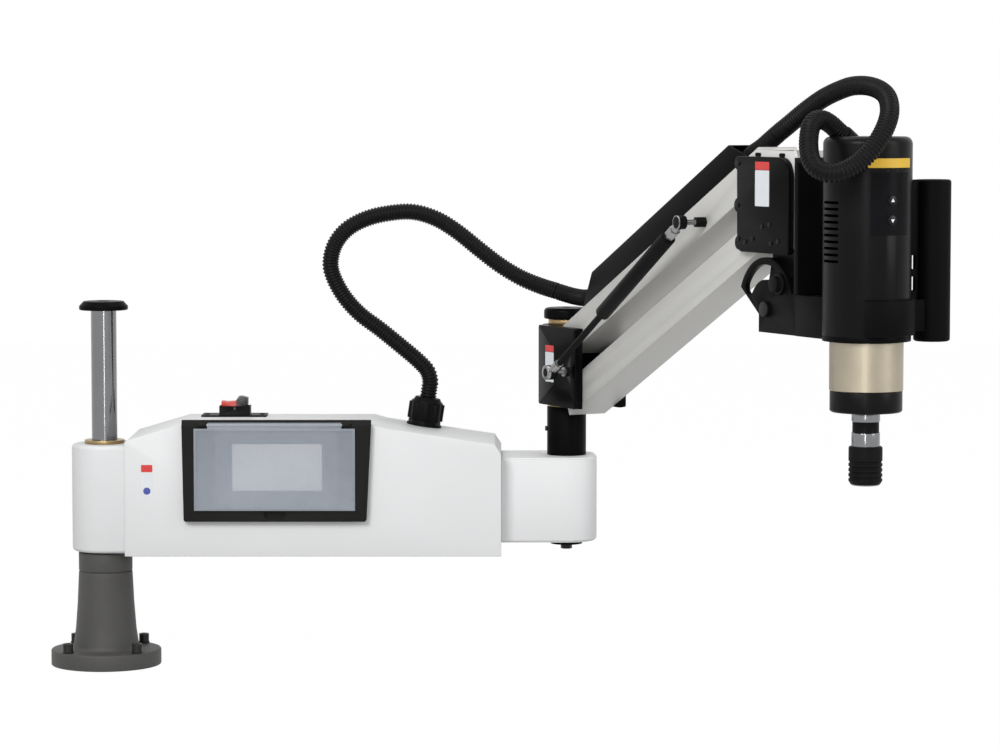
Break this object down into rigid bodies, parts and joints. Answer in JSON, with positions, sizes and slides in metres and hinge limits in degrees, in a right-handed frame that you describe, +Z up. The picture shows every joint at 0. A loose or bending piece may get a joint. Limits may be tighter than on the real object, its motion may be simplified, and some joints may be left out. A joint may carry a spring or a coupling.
{
  "type": "arm tapping machine",
  "caption": "Arm tapping machine: box arm swinging on a fixed column, gas-sprung parallelogram arm, tilting servo head with hand grip, control screen and corrugated conduits.",
  "frame": {"origin": "centre of the base flange's underside, on the column's axis", "axes": "+Z up along the column, +X from the column along the first arm to the second arm's post, +Y to the back of the control box"},
  "size_m": [1.0557, 0.7909, 0.7352],
  "materials": {
    "casting_grey": "dark grey enamelled casting, satin",
    "fastener_black": "blackened steel",
    "chrome_steel": "hard chrome, polished",
    "black_cap": "black moulded plastic",
    "arm_white": "white powder coat, semi-gloss",
    "arm_casting": "cast aluminium, white powder coat",
    "bronze": "turned bronze",
    "black_coat": "machined aluminium, black satin coat",
    "black_sheet": "sheet steel, black powder coat",
    "beam_aluminium": "light grey anodised extrusion",
    "clear_lid": "frosted bluish clear plastic",
    "panel_grey": "blue grey moulded bezel",
    "screen_glass": "pale blank display",
    "switch_black": "black moulded plastic",
    "rocker_red": "red and black rocker",
    "driver_grey": "die-cast drive housing",
    "gear_champagne": "champagne satin finish",
    "servo_black": "black motor housing",
    "steel": "ground steel",
    "grip_black": "matt black tube grip",
    "conduit_black": "corrugated polyamide",
    "button_black": "black membrane button with a pale arrow"
  },
  "bodies": {
    "base": {"base_casting": "casting_grey", "base_screws": "fastener_black", "support_collar": "casting_grey", "main_column": "chrome_steel", "column_cap": "black_cap"},
    "first_arm": {"arm_frame": "arm_casting", "arm_box": "arm_white", "rear_panel": "arm_white", "column_bushes": "bronze", "screen_frame": "black_cap", "cover_hinge_pin": "steel", "hmi_panel": "panel_grey", "hmi_screen": "screen_glass", "switch_housing": "switch_black", "gland_base": "switch_black", "gland_nut": "switch_black", "servo_driver": "driver_grey", "post_shaft": "chrome_steel", "post_sleeve": "black_coat", "post_bolt": "fastener_black", "post_disc": "black_coat", "post_cap": "black_coat", "conduit_lower": "conduit_black"},
    "screen_lid": {"screen_cover": "clear_lid"},
    "rocker": {"power_rocker": "rocker_red"},
    "yoke": {"yoke_block": "black_coat", "yoke_covers": "black_coat", "yoke_bushes": "bronze", "yoke_pins": "steel", "gas_stud_lower": "steel", "conduit_lower_end": "conduit_black"},
    "upper_arm": {"upper_beam": "beam_aluminium", "conduit_cover": "black_sheet", "gas_stud_upper": "steel", "conduit_upper_start": "conduit_black"},
    "lower_arm": {"lower_beam": "beam_aluminium"},
    "spring_tube": {"gas_cylinder": "black_sheet"},
    "spring_rod": {"gas_rod": "chrome_steel"},
    "head": {"head_frame": "black_coat", "head_side_plates": "beam_aluminium", "head_covers": "black_cap", "head_pins": "steel", "tilt_clamp_bolt": "fastener_black", "conduit_upper": "conduit_black"},
    "tilt_head": {"tilt_fork": "black_coat", "tilt_pin": "fastener_black", "motor_cover": "servo_black", "servo_motor": "servo_black", "reduction_gearbox": "gear_champagne", "output_ring": "black_coat", "hand_grip": "grip_black", "grip_bracket": "black_coat", "button_switches": "button_black", "motor_gland": "switch_black"},
    "rotor": {"motor_rotor": "steel"},
    "spindle_body": {"spindle": "chrome_steel"},
    "collar": {"chuck_collar": "fastener_black"},
    "up_button": {"button_up": "button_black"},
    "down_button": {"button_down": "button_black"}
  },
  "joints": [
    {"name": "arm_swing", "type": "hinge", "parent": "base", "child": "first_arm", "pos_m": [0, 0, 0.2], "axis": [0, 0, 1], "range_deg": [-170, 170]},
    {"name": "post_swing", "type": "hinge", "parent": "first_arm", "child": "yoke", "pos_m": [0.58, 0, 0.38], "axis": [0, 0, 1], "range_deg": [-37, 163], "deforming": ["conduit_lower"]},
    {"name": "lift", "type": "hinge", "parent": "yoke", "child": "upper_arm", "pos_m": [0.60815, -0.05524, 0.421], "axis": [-0.891, -0.454, 0], "range_deg": [-24, 14], "deforming": ["conduit_lower_end"]},
    {"name": "lower_link", "type": "hinge", "parent": "yoke", "child": "lower_arm", "pos_m": [0.60815, -0.05524, 0.345], "axis": [-0.891, -0.454, 0], "range_deg": [-24, 14]},
    {"name": "head_level", "type": "hinge", "parent": "upper_arm", "child": "head", "pos_m": [0.80401, -0.43964, 0.63142], "axis": [-0.891, -0.454, 0], "range_deg": [-14, 24], "deforming": ["conduit_upper_start"]},
    {"name": "spring_pivot", "type": "hinge", "parent": "upper_arm", "child": "spring_tube", "pos_m": [0.70398, -0.36668, 0.569], "axis": [-0.891, -0.454, 0], "range_deg": [-0.7, 1.2]},
    {"name": "spring_stroke", "type": "slide", "parent": "spring_tube", "child": "spring_rod", "axis": [-0.3872, 0.76, -0.522], "range_m": [-0.018, 0.0105]},
    {"name": "head_tilt", "type": "hinge", "parent": "head", "child": "tilt_head", "pos_m": [0.81744, -0.466, 0.476], "axis": [0.891, 0.454, 0], "range_deg": [0, 90], "deforming": ["conduit_upper"]},
    {"name": "spindle_spin", "type": "hinge", "parent": "tilt_head", "child": "spindle_body", "pos_m": [0.89189, -0.61212, 0.35], "axis": [0, 0, -1], "continuous": true},
    {"name": "rotor_spin", "type": "hinge", "parent": "tilt_head", "child": "rotor", "pos_m": [0.89189, -0.61212, 0.5], "axis": [0, 0, -1], "continuous": true},
    {"name": "collar_slide", "type": "slide", "parent": "spindle_body", "child": "collar", "axis": [0, 0, -1], "range_m": [0, 0.005], "stiffness_N_per_m": 500, "springref_m": -0.006},
    {"name": "up_press", "type": "slide", "parent": "tilt_head", "child": "up_button", "axis": [-0.454, 0.891, 0], "range_m": [0, 0.0015], "stiffness_N_per_m": 800, "springref_m": -0.001},
    {"name": "down_press", "type": "slide", "parent": "tilt_head", "child": "down_button", "axis": [-0.454, 0.891, 0], "range_m": [0, 0.0015], "stiffness_N_per_m": 800, "springref_m": -0.001},
    {"name": "lid_swing", "type": "hinge", "parent": "first_arm", "child": "screen_lid", "pos_m": [0.2185, -0.084, 0.3095], "axis": [-1, 0, 0], "range_deg": [0, 100]},
    {"name": "rocker_tip", "type": "hinge", "parent": "first_arm", "child": "rocker", "pos_m": [0.1605, 0.05, 0.319], "axis": [0, 1, 0], "range_deg": [-7, 7]}
  ],
  "couplings": [
    {"joint": "lower_link", "follows": "lift", "ratio": 1},
    {"joint": "head_level", "follows": "lift", "ratio": -1},
    {"joint": "spring_pivot", "follows": "lift", "ratio": -0.045},
    {"joint": "spring_stroke", "follows": "lift", "m_per_rad": 0.042},
    {"joint": "rotor_spin", "follows": "spindle_spin", "ratio": 5}
  ]
}
